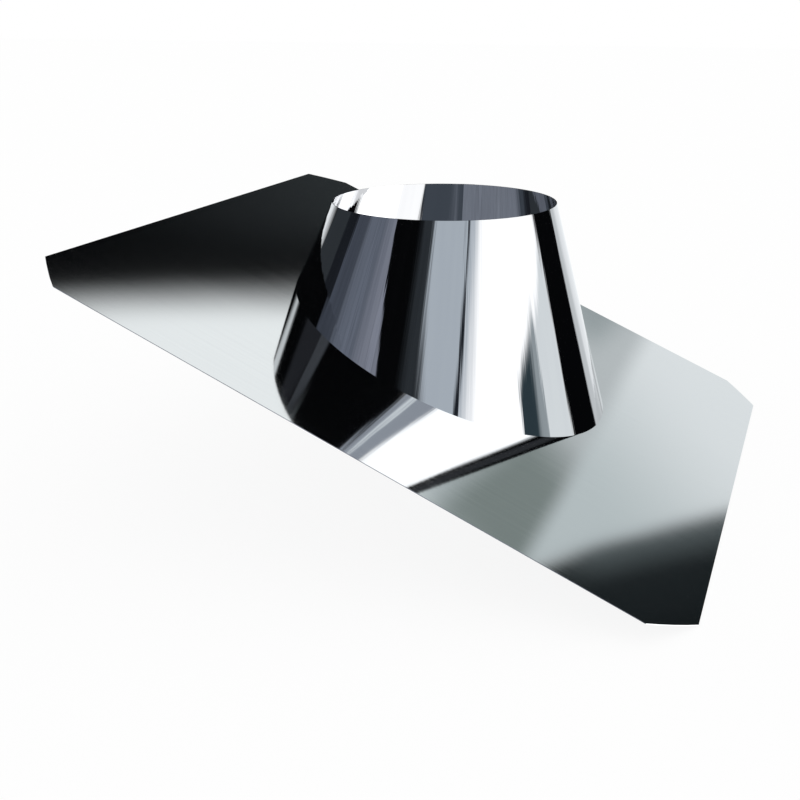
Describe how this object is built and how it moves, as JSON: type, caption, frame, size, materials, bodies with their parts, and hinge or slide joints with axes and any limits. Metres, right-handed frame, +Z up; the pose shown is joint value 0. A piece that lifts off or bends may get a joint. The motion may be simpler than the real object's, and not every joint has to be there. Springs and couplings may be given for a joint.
{
  "type": "pipe flashing boot",
  "caption": "Stainless steel roof flashing: a flat plate with trimmed corners and a flared collar for a vertical pipe through a pitched roof.",
  "frame": {"origin": "where the pipe's axis meets the plane of the plate's underside, which is the roof surface", "axes": "+Z up along the vertical pipe's axis, +X level and downhill, +Y level along the roof"},
  "size_m": [0.571, 0.61, 0.2656],
  "materials": {
    "plate_steel": "bright rolled stainless sheet",
    "collar_steel": "mirror bright stainless sheet"
  },
  "bodies": {
    "root": {"base_plate": "plate_steel", "collar": "collar_steel"}
  },
  "joints": []
}
